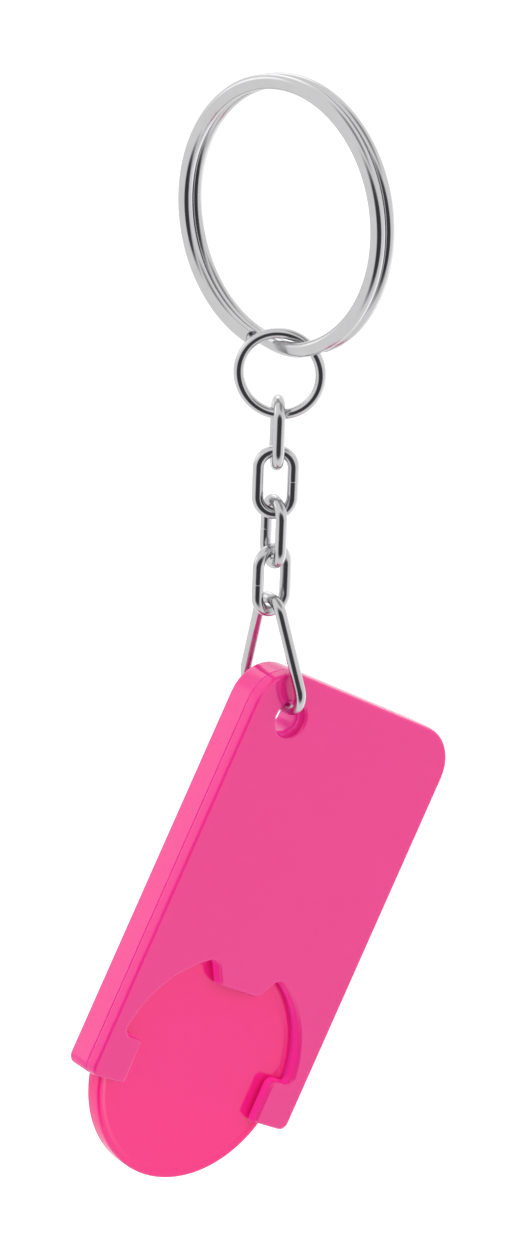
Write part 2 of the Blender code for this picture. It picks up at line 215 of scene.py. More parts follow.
@dataclass(frozen=True)
class MouldedPlastic:
    """Glossy ABS with a fluorescent dye, from a polished mould.

    Light goes a little way into the plastic.  The walls of recesses carry painted light, an emission that keeps them
    bright where they would lie in shade.  The mould's polish leaves a faint orange peel, the dye is a little uneven
    along the flow of the melt, and the surface carries a few short hairlines from keys and pockets.
    """

    name: str
    colour: str
    flow_colour: str
    # Painted light: emission colour and strength that brighten recess walls where shade falls
    painted_recess_light_colour: str = "#da36b4"
    painted_recess_light_strength: float = 0.5
    ior: float = 1.60
    glow: float = 0.35
    glow_depth: float = 1.4 * MM
    # Red goes furthest into a pink plastic, and green is soon lost
    glow_reach: tuple[float, float, float] = (1.0, 0.3, 0.7)
    polish: float = 0.09
    rubbed: float = 0.16
    rub: float = 2.0 * MM
    peel: float = 0.9 * MM
    peel_depth: float = 0.0010 * MM
    peel_strength: float = 0.6
    flow: float = 7.0 * MM
    # Real hairlines are about 0.02 mm wide and too fine to show, so they are drawn coarser
    hairline_width: float = 0.22 * MM
    hairline_length: float = 8.0 * MM
    hairline_depth: float = 0.0012 * MM
    hairline_strength: float = 0.5
    hairline_turn: tuple[float, float, float] = (0.3, 0.9, 0.2)
    # A hairline fades in between these values of its noise, so only a few crests show
    hairline_crest: tuple[float, float] = (0.70, 0.78)

    def make(self) -> Material:
        """Builds the material.

        Returns:
            The plastic's material.
        """
        material, tree, output = empty_material(self.name)
        place = add_node(tree, "TexCoord").outputs["Object"]
        melt = {"Scale": 1 / self.flow, "Detail": 2.0, "Distortion": 0.8}
        flow = add_node(tree, "TexNoise", melt, {"Vector": place})
        colours = {"data_type": "RGBA", 6: linear(self.colour), 7: linear(self.flow_colour)}
        tone = add_node(tree, "Mix", colours, {0: flow.outputs["Fac"]})
        spots = {"Scale": 1 / self.rub, "Detail": 5.0, "Roughness": 0.65}
        rub = add_node(tree, "TexNoise", spots, {"Vector": place})
        wear = {"From Min": NOISE_LOW, "From Max": NOISE_HIGH, "To Min": self.polish, "To Max": self.rubbed}
        gloss = add_node(tree, "MapRange", wear, {"Value": rub.outputs["Fac"]})
        peel = add_node(tree, "TexNoise", {"Scale": 1 / self.peel, "Detail": 1.0}, {"Vector": place})
        ripples = {"Strength": self.peel_strength, "Distance": self.peel_depth}
        skin = add_node(tree, "Bump", ripples, {"Height": peel.outputs["Fac"]})
        across, along = 1 / self.hairline_width, 1 / self.hairline_length
        stretch = {"Rotation": self.hairline_turn, "Scale": (across, across, along)}
        stretched = add_node(tree, "Mapping", stretch, {"Vector": place}).outputs["Vector"]
        hair = add_node(tree, "TexNoise", {"Scale": 1.0, "Detail": 1.0}, {"Vector": stretched})
        low, high = self.hairline_crest
        crests = {"From Min": low, "From Max": high, "To Min": 0.0, "To Max": 1.0}
        thin = add_node(tree, "MapRange", crests, {"Value": hair.outputs["Fac"]})
        grooves = {"Strength": self.hairline_strength, "Distance": self.hairline_depth, "invert": True}
        sources = {"Height": thin.outputs["Result"], "Normal": skin.outputs["Normal"]}
        scratched = add_node(tree, "Bump", grooves, sources)
        # Painted light: the marked walls emit, which lifts the shade in the recesses
        recess = add_node(tree, "Attribute", {"attribute_name": PAINTED_RECESS_LIGHT}).outputs["Fac"]
        lights = {"data_type": "RGBA", 6: linear(BLACK), 7: linear(self.painted_recess_light_colour)}
        painted_recess_glow = add_node(tree, "Mix", lights, {0: recess})
        shader = add_node(
            tree,
            "BsdfPrincipled",
            {
                "IOR": self.ior,
                "Emission Strength": self.painted_recess_light_strength,
                "Subsurface Weight": self.glow,
                "Subsurface Radius": self.glow_reach,
                "Subsurface Scale": self.glow_depth,
            },
            {
                "Base Color": tone.outputs[2],
                "Roughness": gloss.outputs["Result"],
                "Normal": scratched.outputs["Normal"],
                "Emission Color": painted_recess_glow.outputs[2],
            },
        )
        tree.links.new(shader.outputs["BSDF"], output.inputs["Surface"])
        return material


@dataclass(frozen=True)
class PaperFloor:
    """Pale matt paper, pressed from fibre: it reads as plain white and keeps the shadow."""

    name: str = "floor_paper"
    colour: str = "#e6e6e6"
    lift: float = 0.42
    fibre: float = 1.5 * MM
    fibre_depth: float = 0.05 * MM
    fibre_strength: float = 0.1

    def make(self) -> Material:
        """Builds the material.

        Returns:
            The paper's material.
        """
        material, tree, output = empty_material(self.name)
        place = add_node(tree, "TexCoord").outputs["Object"]
        fibre = add_node(tree, "TexNoise", {"Scale": 1 / self.fibre, "Detail": 3.0}, {"Vector": place})
        felt = {"Strength": self.fibre_strength, "Distance": self.fibre_depth}
        bump = add_node(tree, "Bump", felt, {"Height": fibre.outputs["Fac"]})
        paper = add_node(tree, "BsdfDiffuse", {"Color": linear(self.colour)}, {"Normal": bump.outputs["Normal"]})
        seen = add_node(tree, "LightPath").outputs["Is Camera Ray"]
        lifted = add_node(tree, "Math", {"operation": "MULTIPLY", 1: self.lift}, {0: seen})
        glow = add_node(tree, "Emission", {"Color": linear(WHITE)}, {"Strength": lifted.outputs[0]})
        both = add_node(tree, "AddShader", None, {0: paper.outputs[0], 1: glow.outputs[0]})
        tree.links.new(both.outputs[0], output.inputs["Surface"])
        return material


# Flat outlines


@dataclass(frozen=True)
class Arc:
    """A round stretch of a flat outline."""

    centre: Vector
    radius: float
    start: float
    sweep: float
    step: float = math.radians(10)

    @classmethod
    def joining(cls, centre: Vector, first: Vector, last: Vector) -> "Arc":
        """Goes the short way round a centre, from one point to another.

        Args:
            centre: Middle of the arc.
            first: Point where it starts.
            last: Point where it ends.

        Returns:
            The arc.
        """
        start = math.atan2(first.y - centre.y, first.x - centre.x)
        turn = math.atan2(last.y - centre.y, last.x - centre.x) - start
        sweep = math.remainder(turn, 2 * math.pi)
        return cls(centre, (first - centre).length, start, sweep)

    @classmethod
    def corner(cls, before: Vector, corner: Vector, after: Vector, radius: float) -> "Arc":
        """Rounds the corner between two straight edges.

        Args:
            before: Point before the corner.
            corner: The corner.
            after: Point after the corner.
            radius: Rounding radius.

        Returns:
            The arc.
        """
        back, on = (before - corner).normalized(), (after - corner).normalized()
        half = back.angle(on) / 2
        cut = radius / math.tan(half)
        centre = corner + (back + on).normalized() * radius / math.sin(half)
        return cls.joining(centre, corner + back * cut, corner + on * cut)

    @classmethod
    def plain(cls, corner: Vector) -> "Arc":
        """A corner without any rounding."""
        return cls(corner, 0.0, 0.0, 0.0)

    @property
    def steps(self) -> int:
        """Number of straight stretches that stand for the arc."""
        return max(1, math.ceil(abs(self.sweep) / self.step))

    @property
    def first(self) -> Vector:
        """Point where the arc starts."""
        return self.at(self.start)

    def at(self, turn: float) -> Vector:
        """Point of the arc's circle at an angle."""
        return self.centre + self.radius * Vector((math.cos(turn), math.sin(turn), 0))

    def mirrored(self) -> "Arc":
        """The same stretch on the other side, for an outline that runs the other way there."""
        centre = Vector((-self.centre.x, self.centre.y, 0))
        return Arc(centre, self.radius, math.pi - self.start - self.sweep, self.sweep, self.step)

    def points(self) -> list[Vector]:
        """Points along the arc, with both ends."""
        return [self.at(self.start + self.sweep * i / self.steps) for i in range(self.steps + 1)]

    def draw(self, bm: BMesh, tip: BMVert | None) -> BMVert:
        """Draws a straight edge to the arc and then the arc.

        Args:
            bm: Mesh that gets the edges.
            tip: End of the outline so far, or None at its start.

        Returns:
            The outline's new end.
        """
        vert = bm.verts.new(self.first)
        if tip is not None:
            bm.edges.new((tip, vert))
        if not self.sweep:
            return vert
        spun = bmesh.ops.spin(bm, geom=[vert], cent=self.centre, axis=(0, 0, 1), angle=self.sweep, steps=self.steps)
        return next(g for g in spun["geom_last"] if isinstance(g, BMVert))


def draw_outline(bm: BMesh, arcs: Iterable[Arc]) -> None:
    """Draws a closed outline of arcs with straight edges between them.

    Args:
        bm: Mesh that gets the edges.
        arcs: The arcs in order.
    """
    count = len(bm.verts)
    tip = None
    for arc in arcs:
        tip = arc.draw(bm, tip)
    bm.verts.ensure_lookup_table()
    bm.edges.new((tip, bm.verts[count]))
    bmesh.ops.remove_doubles(bm, verts=bm.verts, dist=WELD)


# Mesh helpers


@dataclass(frozen=True)
class Stop:
    """One place along a wire."""

    matrix: Matrix
    along: float


@dataclass(frozen=True)
class Fit:
    """Where a fine piece goes in the frame, what it stands for there and what it is made of."""

    name: str
    node: str
    body: str
    slot: Slot
    matrix: Matrix
    material: Material


@dataclass
class Track:
    """A closed line through points, measured along its length."""

    points: list[Vector]

    def __post_init__(self) -> None:
        """Closes the line and measures it."""
        self.points = [*self.points, self.points[0]]
        stretches = ((after - before).length for before, after in pairwise(self.points))
        self.lengths = list(accumulate(stretches, initial=0.0))
        self.total = self.lengths[-1]

    def at(self, distance: float) -> Vector:
        """Finds a point of the line.

        Args:
            distance: Length up to the point, counted on past the line's end.

        Returns:
            The point.
        """
        distance %= self.total
        i = max(k for k, length in enumerate(self.lengths[:-1]) if length <= distance)
        share = (distance - self.lengths[i]) / (self.lengths[i + 1] - self.lengths[i])
        return self.points[i].lerp(self.points[i + 1], share)


def upright(place: Vector, yaw: float, lean: float = 0.0) -> Matrix:
    """Stands a flat piece upright at its hanging point.

    Args:
        place: Hanging point.
        yaw: Turn about the chain's line, in degrees.
        lean: Lean out of the upright, in degrees.

    Returns:
        Matrix from the piece's own plane to the frame.
    """
    turn = Euler((math.radians(90 + lean), 0, math.radians(yaw)))
    return Matrix.Translation(place) @ turn.to_matrix().to_4x4()


def draw_wire(bm: BMesh, stops: list[Stop], closed: bool) -> None:
    """Draws the section that a mesh holds through every stop.

    The section lies in the XY plane.  Each vertex keeps its place in the straightened wire, which the plate's drawing
    lines follow.

    Args:
        bm: Mesh that holds the section's closed edge loop alone.
        stops: Places along the wire.
        closed: True if the last stop joins the first, False for cut ends.
    """
    straight = bm.verts.layers.float_vector.new(STRAIGHT)
    for vert in bm.verts:
        vert[straight] = (vert.co.x, vert.co.y, stops[0].along)
    first = loop = list(bm.edges)
    bmesh.ops.transform(bm, matrix=stops[0].matrix, verts=bm.verts)
    for before, after in pairwise(stops):
        grown = bmesh.ops.extrude_edge_only(bm, edges=loop)["geom"]
        fresh = {g for g in grown if isinstance(g, BMVert)}
        loop = [g for g in grown if isinstance(g, BMEdge) and fresh.issuperset(g.verts)]
        bmesh.ops.transform(bm, matrix=after.matrix @ before.matrix.inverted(), verts=list(fresh))
        for vert in fresh:
            vert[straight] = (vert[straight].x, vert[straight].y, after.along)
    if closed:
        bmesh.ops.bridge_loops(bm, edges=first + loop)
    else:
        for rim in (first, loop):
            bmesh.ops.contextual_create(bm, geom=rim)
    bmesh.ops.recalc_face_normals(bm, faces=bm.faces)


def settle(bm: BMesh, fit: Fit) -> Object:
    """Turns a finished mesh into a piece that rides on its body.

    Args:
        bm: The piece's mesh in its own plane.
        fit: Where the piece goes.

    Returns:
        The piece.
    """
    bmesh.ops.transform(bm, matrix=fit.matrix, verts=bm.verts)
    mesh = bpy.data.meshes.new(fit.name)
    bm.to_mesh(mesh)
    bm.free()
    mesh.materials.append(fit.material)
    mesh.shade_smooth()
    mesh.set_sharp_from_angle(angle=SHARP)
    piece = bpy.data.objects.new(fit.name, mesh)
    bpy.context.scene.collection.objects.link(piece)
    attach(piece, fit.body)
    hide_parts(fit.node)
    LOG.info("%s: %d faces, on %s", fit.name, len(mesh.polygons), fit.body)
    return piece


# Wire pieces


@dataclass
class WireLoop:
    """A closed loop of round wire, whose cut ends meet in a fine groove at its butt joint.

    A loop hangs from its own origin, the middle line of the wire above.  Its contact is how far apart the two wires'
    middle lines are where they cross, and its joint's place is a share of its length.
    """

    wire: float
    joint_at: float = 0.0
    sides: int = 32
    step: float = 0.14 * MM
    groove: float = 0.03 * MM
    groove_scale: float = 0.978

    def outline(self) -> list[Vector]:
        """Points of the wire's middle line, in the piece's own plane."""
        raise NotImplementedError

    def stops(self) -> list[Stop]:
        """Places along the wire, from its joint round to its joint.

        Returns:
            The stops, with a narrower one at the joint.
        """
        track = Track(self.outline())
        count = round(track.total / self.step)
        spaced = [track.total * i / count for i in range(1, count)]
        up = Vector((0, 0, 1))
        stops = []
        for distance in (0.0, self.groove, *spaced, track.total - self.groove):
            start = distance + self.joint_at * track.total
            ahead = (track.at(start + self.step / 2) - track.at(start - self.step / 2)).normalized()
            scale = self.groove_scale if distance == 0 else 1.0
            turn = Matrix((ahead.cross(up) * scale, up * scale, ahead)).transposed()
            stops.append(Stop(Matrix.Translation(track.at(start)) @ turn.to_4x4(), distance))
        return stops

    def build(self, fit: Fit) -> Object:
        """Builds the loop and sets it in its place.

        Args:
            fit: Where the loop goes.

        Returns:
            The piece.
        """
        bm = bmesh.new()
        bmesh.ops.create_circle(bm, cap_ends=False, segments=self.sides, radius=self.wire / 2)
        draw_wire(bm, self.stops(), closed=True)
        return settle(bm, fit)


@dataclass
class JumpRing(WireLoop):
    """The round ring between the split ring and the chain."""

    wire: float = 1.0 * MM
    joint_at: float = 0.125
    radius: float = 3.85 * MM
    contact: float = 1.275 * MM
    yaw: float = -48.0
    turn_step: float = math.radians(2)

    def outline(self) -> list[Vector]:
        """Points of the ring's middle line."""
        middle = Vector((0, self.contact - self.radius, 0))
        return Arc(middle, self.radius, 0, 2 * math.pi, self.turn_step).points()[:-1]


@dataclass
class ChainLink(WireLoop):
    """An oval link, wound on an oval former, so that its sides bow out a little between the round ends."""

    wire: float = 1.1 * MM
    half_length: float = 3.05 * MM
    half_width: float = 1.625 * MM
    end_radius: float = 1.62 * MM
    contact: float = 1.3 * MM
    side_step: float = math.radians(0.6)
    end_step: float = math.radians(4)

    def outline(self) -> list[Vector]:
        """Draws the link's middle line as four arcs.

        Returns:
            Its points, from the foot of its right side.
        """
        rise = self.half_length - self.end_radius
        spread = self.half_width**2 + rise**2 - self.end_radius**2
        bow = spread / (2 * (self.half_width - self.end_radius))
        lean = math.atan2(rise, bow - self.half_width)
        middle = self.contact - self.half_length
        turn = math.pi - 2 * lean
        side = Arc(Vector((self.half_width - bow, middle, 0)), bow, -lean, 2 * lean, self.side_step)
        top = Arc(Vector((0, middle + rise, 0)), self.end_radius, lean, turn, self.end_step)
        foot = Arc(Vector((0, middle - rise, 0)), self.end_radius, math.pi + lean, turn, self.end_step)
        return [point for arc in (side, top, side.mirrored(), foot) for point in arc.points()[:-1]]


@dataclass
class Bail(WireLoop):
    """The wire triangle through the holder's hole."""

    wire: float = 1.1 * MM
    joint_at: float = 0.13
    height: float = 10.6 * MM
    apex_radius: float = 1.75 * MM
    corner_radius: float = 1.9 * MM
    half_base: float = 5.045 * MM
    contact: float = 1.3 * MM
    yaw: float = -90.0
    lean: float = 5.0
    turn_step: float = math.radians(3)

    def outline(self) -> list[Vector]:
        """Draws the bail's middle line as three rounds with straight legs and a straight base between them.

        Returns:
            Its points, from the apex round on.
        """
        rise = self.height - self.apex_radius
        reach = math.hypot(self.half_base, rise)
        slope = math.acos(self.apex_radius / reach) - math.atan2(rise, self.half_base)
        base = self.contact - self.height
        inset = self.corner_radius * (1 + math.sin(slope)) / math.cos(slope)
        peak = Vector((0, base + rise, 0))
        apex = Arc(peak, self.apex_radius, slope, math.pi - 2 * slope, self.turn_step)
        corner = Vector((self.half_base - inset, base + self.corner_radius, 0))
        right = Arc(corner, self.corner_radius, 3 * QUARTER, QUARTER + slope, self.turn_step)
        return apex.points() + right.mirrored().points() + right.points()


@dataclass
class SplitRing:
    """One oval wire wound twice, with its crossing at the bottom between the two cut ends.

    The wire is as wide as in the photograph, which is a little wider than the solid's.  The ends' angles are in
    degrees from the bottom.
    """

    inner_radius: float = 11.55 * MM
    middle_depth: float = 11.6 * MM
    width: float = 1.4 * MM
    thickness: float = 1.09 * MM
    coil_offset: float = 0.6 * MM
    edge_radius: float = 0.50 * MM
    front_end: float = 14.5
    back_end: float = 25.0
    end_radius: float = 0.10 * MM
    end_steps: int = 3
    steps: int = 480
    yaw: float = -82.0

    def stops(self) -> list[Stop]:
        """Places along the wound wire, from the front's cut end to the back's.

        Returns:
            The stops.
        """
        first = math.radians(self.front_end)
        last = 4 * math.pi - math.radians(self.back_end)
        crossing = 2 * math.pi - math.radians(self.back_end)
        span = math.radians(self.front_end + self.back_end)
        radius = self.inner_radius + self.width / 2
        stops = []
        for i in range(self.steps + 1):
            turned = first + (last - first) * i / self.steps
            share = min(1.0, max(0.0, (turned - crossing) / span))
            ease = share * share * (3 - 2 * share)
            slope = 6 * share * (1 - share) / span * 2 * self.coil_offset / radius
            out = Vector((-math.sin(turned), -math.cos(turned), 0))
            ahead = Vector((-math.cos(turned), math.sin(turned), -slope)).normalized()
            turn = Matrix((out, ahead.cross(out), ahead)).transposed()
            place = out * radius + Vector((0, 0, self.coil_offset * (1 - 2 * ease)))
            stops.append(Stop(Matrix.Translation(place) @ turn.to_4x4(), turned * radius))
        return stops

    def build(self, fit: Fit) -> Object:
        """Draws the wire through its two turns and softens its cut ends.

        Args:
            fit: Where the ring goes.

        Returns:
            The piece.
        """
        bm = bmesh.new()
        side, flat = self.width / 2, self.thickness / 2
        places = ((side, -flat), (side, flat), (-side, flat), (-side, -flat))
        corners = [Vector((x, y, 0)) for x, y in places]
        turns = zip(corners[-1:] + corners, corners, corners[1:] + corners[:1])
        draw_outline(bm, [Arc.corner(*turn, self.edge_radius) for turn in turns])
        draw_wire(bm, self.stops(), closed=False)
        ends = [face for face in bm.faces if len(face.verts) > 4]
        rims = list({edge for face in ends for edge in face.edges})
        bmesh.ops.bevel(
            bm, geom=rims, offset=self.end_radius, segments=self.end_steps, profile=0.5, affect="EDGES", material=-1
        )
        return settle(bm, fit)


# Holder and coin, in the holder's plane: X across, Y up, Z to the front, zero at the coin's middle


@dataclass
class CoinShape:
    """The trolley coin: sunk faces, narrow soft rims and a plain round edge."""

    radius: float = 11.625 * MM
    thickness: float = 1.85 * MM
    edge_width: float = 0.35 * MM
    edge_share: float = 0.9
    rim_flat: float = 0.18 * MM
    rim_radius: float = 0.35 * MM
    rim_slope: float = 0.40 * MM
    foot_radius: float = 0.5 * MM
    recess: float = 0.14 * MM
    middle: float = -0.325 * MM
    steps: int = 180

    def build(self, fit: Fit) -> Object:
        """Turns the coin from its section.

        Args:
            fit: Where the coin goes, from the holder's plane.

        Returns:
            The piece.
        """
        half = self.thickness / 2
        crest = self.radius - self.edge_width
        sunk = half - self.recess
        middle, side = Vector((0, sunk, 0)), Vector((self.radius, 0, 0))
        foot = Vector((crest - self.rim_flat - self.rim_slope, sunk, 0))
        rim = Vector((crest - self.rim_flat, half, 0))
        edge = Vector((self.radius, half, 0))
        rounds = [
            Arc.corner(side, edge, rim, self.edge_width * self.edge_share),
            Arc.corner(edge, rim, foot, self.rim_radius),
            Arc.corner(rim, foot, middle, self.foot_radius),
        ]
        bm = bmesh.new()
        tip = bm.verts.new(side)
        for arc in rounds:
            tip = arc.draw(bm, tip)
        bm.edges.new((tip, bm.verts.new(middle)))
        other = bmesh.ops.duplicate(bm, geom=list(bm.verts) + list(bm.edges))["geom"]
        verts = [g for g in other if isinstance(g, BMVert)]
        bmesh.ops.scale(bm, vec=(1, -1, 1), verts=verts)
        bmesh.ops.remove_doubles(bm, verts=bm.verts, dist=WELD)
        whole = list(bm.verts) + list(bm.edges)
        bmesh.ops.spin(
            bm, geom=whole, cent=(0, 0, 0), axis=(0, 1, 0), angle=2 * math.pi, steps=self.steps, use_merge=True
        )
        bmesh.ops.remove_doubles(bm, verts=bm.verts, dist=WELD)
        bmesh.ops.recalc_face_normals(bm, faces=bm.faces)
        lay = Matrix.Translation((0, 0, self.middle)) @ Matrix.Rotation(QUARTER, 4, "X")
        return settle(bm, replace(fit, matrix=fit.matrix @ lay))


@dataclass
class Holder:
    """The flat two-part holder: a tray with the coin's pocket and a cover with the thumb window.

    The cover's walls have a moulding draft, and its window laps the coin's edge a little, as in the photograph.  The
    bore is narrower than the solid's hole and a little nearer to the wire, and its rounded edges open out to that hole.
    """

    coin: CoinShape
    pocket_clearance: float = 0.35 * MM
    side_wall: float = 1.525 * MM
    thickness: float = 4.0 * MM
    floor: float = 0.5 * MM
    cover_thickness: float = 1.15 * MM
    seam: float = 0.05 * MM
    top: float = 39.1 * MM
    mouth: float = 3.5 * MM
    top_corner: float = 4.2 * MM
    mouth_corner: float = 1.0 * MM
    edge_rounding: float = 0.36 * MM
    edge_steps: int = 6
    seam_rounding: float = 0.10 * MM
    seam_steps: int = 3
    draft: float = math.radians(8)
    undrafted: float = 0.1
    hole_radius: float = 2.05 * MM
    hole_side_inset: float = 5.2 * MM
    hole_top_inset: float = 4.7 * MM
    bore_radius: float = 1.69 * MM
    bore_shift: float = 0.25 * MM
    bore_segments: int = 64
    pin_radius: float = 0.55 * MM
    pin_gap: float = 0.2 * MM
    tilt: float = math.radians(28)
    window_lap: float = -0.12 * MM
    tab_overlap: float = 2.725 * MM
    tab_top: float = 1.25 * MM
    tab_inner_radius: float = 0.8 * MM
    tab_mouth_radius: float = 0.6 * MM
    notch_radius: float = 0.7 * MM
    tongue_length: float = 3.2 * MM
    tongue_root: float = 8.7 * MM
    tongue_tip: float = 5.3 * MM
    tongue_tip_radius: float = 0.9 * MM
    tongue_root_radius: float = 0.95 * MM
    window_step: float = math.radians(1.5)
    pocket_step: float = math.radians(2)
    level_limit: float = math.radians(0.1)
    # Shares of painted light, an emission that lifts the shade on each kind of wall
    pocket_painted_light: float = 1.0
    window_painted_light: float = 0.5
    hole_painted_light: float = 0.55
    seam_painted_light: float = 0.3

    @property
    def pocket_side(self) -> float:
        """Half the pocket's width."""
        return self.coin.radius + self.pocket_clearance

    @property
    def side(self) -> float:
        """Half the holder's width."""
        return self.pocket_side + self.side_wall

    @property
    def window_reach(self) -> float:
        """Radius of the window's round edge."""
        return self.coin.radius + self.window_lap

    @property
    def hole(self) -> Vector:
        """The hole's middle."""
        return Vector((self.hole_side_inset - self.side, self.top - self.hole_top_inset, 0))

    @property
    def towards_pin(self) -> Vector:
        """Direction from the hole's middle to the wire that it hangs on."""
        return Vector((-math.sin(self.tilt), math.cos(self.tilt), 0))

    @property
    def bore(self) -> Vector:
        """The middle of the bore."""
        return self.hole + self.bore_shift * self.towards_pin

    @property
    def front(self) -> float:
        """Height of the front face."""
        return self.thickness / 2

    @property
    def cover_underside(self) -> float:
        """Height of the cover's underside."""
        return self.front - self.cover_thickness

    def matrix(self, pin: Vector) -> Matrix:
        """Hangs the holder's plane on the bail.

        Args:
            pin: Middle of the bail's base wire.

        Returns:
            From the holder's plane to the frame.
        """
        rise = self.hole_radius - self.pin_radius - self.pin_gap
        at = self.hole + rise * self.towards_pin
        swing = Matrix.Translation(pin) @ Matrix.Rotation(self.tilt, 4, "Y") @ Matrix.Rotation(QUARTER, 4, "X")
        return swing @ Matrix.Translation(-at)

    def outer_arcs(self) -> list[Arc]:
        """Rounds the corners of the outer outline.

        Returns:
            The arcs, anticlockwise from the mouth's right corner.
        """
        foot, head = Vector((self.side, -self.mouth, 0)), Vector((self.side, self.top, 0))
        left_foot = Vector((-self.side, -self.mouth, 0))
        left_head = Vector((-self.side, self.top, 0))
        right = [
            Arc.corner(left_foot, foot, head, self.mouth_corner),
            Arc.corner(foot, head, left_head, self.top_corner),
        ]
        return right + [arc.mirrored() for arc in reversed(right)]

    def on_window_round(self, foot: Vector, along: Vector, side: Vector, radius: float) -> tuple[Arc, Vector]:
        """Rounds the window's corner between a straight edge and its round edge.

        Args:
            foot: A point of the straight edge.
            along: Direction of the straight edge towards the corner.
            side: Direction square to the edge, into the window.
            radius: Rounding radius.

        Returns:
            The arc from the straight edge on, and its end on the round edge.
        """
        start = foot + side * radius
        back = start.dot(along)
        travel = math.sqrt(back**2 - start.length_squared + (self.window_reach - radius) ** 2) - back
        centre = start + along * travel
        end = centre.normalized() * self.window_reach
        return Arc.joining(centre, centre - side * radius, end), end

    def window_arcs(self) -> list[Arc]:
        """Draws the right half of the thumb window's outline.

        Returns:
            The arcs, from the tongue's tip down to the mouth.
        """
        reach = self.window_reach
        inner = self.coin.radius - self.tab_overlap
        root = Vector((self.tongue_root / 2, math.sqrt(reach**2 - (self.tongue_root / 2) ** 2), 0))
        tip = Vector((self.tongue_tip / 2, reach - self.tongue_length, 0))
        up = (root - tip).normalized()
        out = Vector((up.y, -up.x, 0))
        tab, mouth = Vector((inner, self.tab_top, 0)), Vector((inner, -self.mouth, 0))
        root_arc, high = self.on_window_round(tip, up, out, self.tongue_root_radius)
        notch, low = self.on_window_round(tab, Vector((1, 0, 0)), Vector((0, 1, 0)), self.notch_radius)
        edge = Arc.joining(Vector(), high, low)
        return [
            Arc.corner(Vector((0, tip.y, 0)), tip, root, self.tongue_tip_radius),
            root_arc,
            replace(edge, step=self.window_step),
            Arc(notch.centre, notch.radius, notch.start + notch.sweep, -notch.sweep),
            Arc.corner(Vector((notch.centre.x, self.tab_top, 0)), tab, mouth, self.tab_inner_radius),
            Arc.corner(tab, mouth, Vector((self.side, -self.mouth, 0)), self.tab_mouth_radius),
        ]

    def fill(self, bm: BMesh) -> None:
        """Fills the sheet between all outlines with a few large faces, and leaves the hole open.

        Args:
            bm: Mesh with the other outlines, level at zero.
        """
        drill = Matrix.Translation(self.bore)
        bmesh.ops.create_circle(bm, cap_ends=False, segments=self.bore_segments, radius=self.bore_radius, matrix=drill)
        made = bmesh.ops.triangle_fill(bm, edges=list(bm.edges), use_beauty=True, normal=(0, 0, 1))["geom"]
        inner = [g for g in made if isinstance(g, BMEdge)]
        bmesh.ops.dissolve_limit(bm, angle_limit=self.level_limit, verts=[], edges=inner)
        caps = [face for face in bm.faces if all(self.in_hole(vert.co) for vert in face.verts)]
        bmesh.ops.delete(bm, geom=caps, context="FACES")
        bmesh.ops.recalc_face_normals(bm, faces=bm.faces)

    def lift(self, bm: BMesh, faces: list[BMFace], height: float) -> list[BMFace]:
        """Extrudes faces upwards.

        Args:
            bm: Mesh in the holder's plane.
            faces: Faces to extrude.
            height: How far they rise.

        Returns:
            The risen faces.
        """
        edges = list({edge for face in faces for edge in face.edges})
        grown = bmesh.ops.extrude_face_region(bm, geom=faces + edges)["geom"]
        verts = [g for g in grown if isinstance(g, BMVert)]
        bmesh.ops.translate(bm, vec=(0, 0, height), verts=verts)
        return [g for g in grown if isinstance(g, BMFace)]

    def step_in(self, bm: BMesh, faces: list[BMFace], inset: float, rise: float) -> None:
        """Insets some level faces and lifts them, which slopes the strip round them.

        Args:
            bm: Mesh in the holder's plane.
            faces: Level faces.
            inset: Width of the strip.
            rise: How far the faces rise.
        """
        bmesh.ops.inset_region(bm, faces=faces, use_boundary=True, use_even_offset=True, thickness=inset)
        verts = list({vert for face in faces for vert in face.verts})
        bmesh.ops.translate(bm, vec=(0, 0, rise), verts=verts)

    def round_over(self, bm: BMesh, faces: list[BMFace], radius: float, steps: int) -> None:
        """Rounds the edges round some flat faces by insetting them step by step.

        Args:
            bm: Mesh in the holder's plane.
            faces: Level faces, which end up a radius further out.
            radius: Rounding radius.
            steps: Steps round the edge.
        """
        out = math.copysign(radius, faces[0].normal.z)
        turns = [QUARTER * i / steps for i in range(steps + 1)]
        for before, after in pairwise(turns):
            inset = radius * (math.cos(before) - math.cos(after))
            self.step_in(bm, faces, inset, out * (math.sin(after) - math.sin(before)))

    def finish(self, bm: BMesh, fit: Fit) -> Object:
        """Marks a half's walls for painted light, places it and keeps its flat faces' shading flat up to their edges.

        Args:
            bm: The half's mesh in the holder's plane.
            fit: Where the half goes.

        Returns:
            The piece.
        """
        self.mark_painted_recess_light(bm)
        piece = settle(bm, fit)
        weighted = piece.modifiers.new("even shading", "WEIGHTED_NORMAL")
        weighted.keep_sharp = True
        weighted.weight = 100
        return piece

    def build_cover(self, fit: Fit) -> Object:
        """Moulds the front half: window, two tabs and the tongue.

        Args:
            fit: Where the cover goes.

        Returns:
            The piece.
        """
        bm = bmesh.new()
        right = self.window_arcs()
        left = [arc.mirrored() for arc in reversed(right)]
        draw_outline(bm, self.outer_arcs() + left + right)
        self.fill(bm)
        under = list(bm.faces)
        bottom = self.cover_underside + self.seam_rounding
        bmesh.ops.translate(bm, vec=(0, 0, bottom), verts=bm.verts)
        wall = self.front - self.edge_rounding - bottom
        face = self.lift(bm, under, wall * self.undrafted)
        bmesh.ops.recalc_face_normals(bm, faces=bm.faces)
        drafted = wall * (1 - self.undrafted)
        self.step_in(bm, face, drafted * math.tan(self.draft), drafted)
        self.round_over(bm, face, self.edge_rounding, self.edge_steps)
        self.round_over(bm, under, self.seam_rounding, self.seam_steps)
        return self.finish(bm, fit)

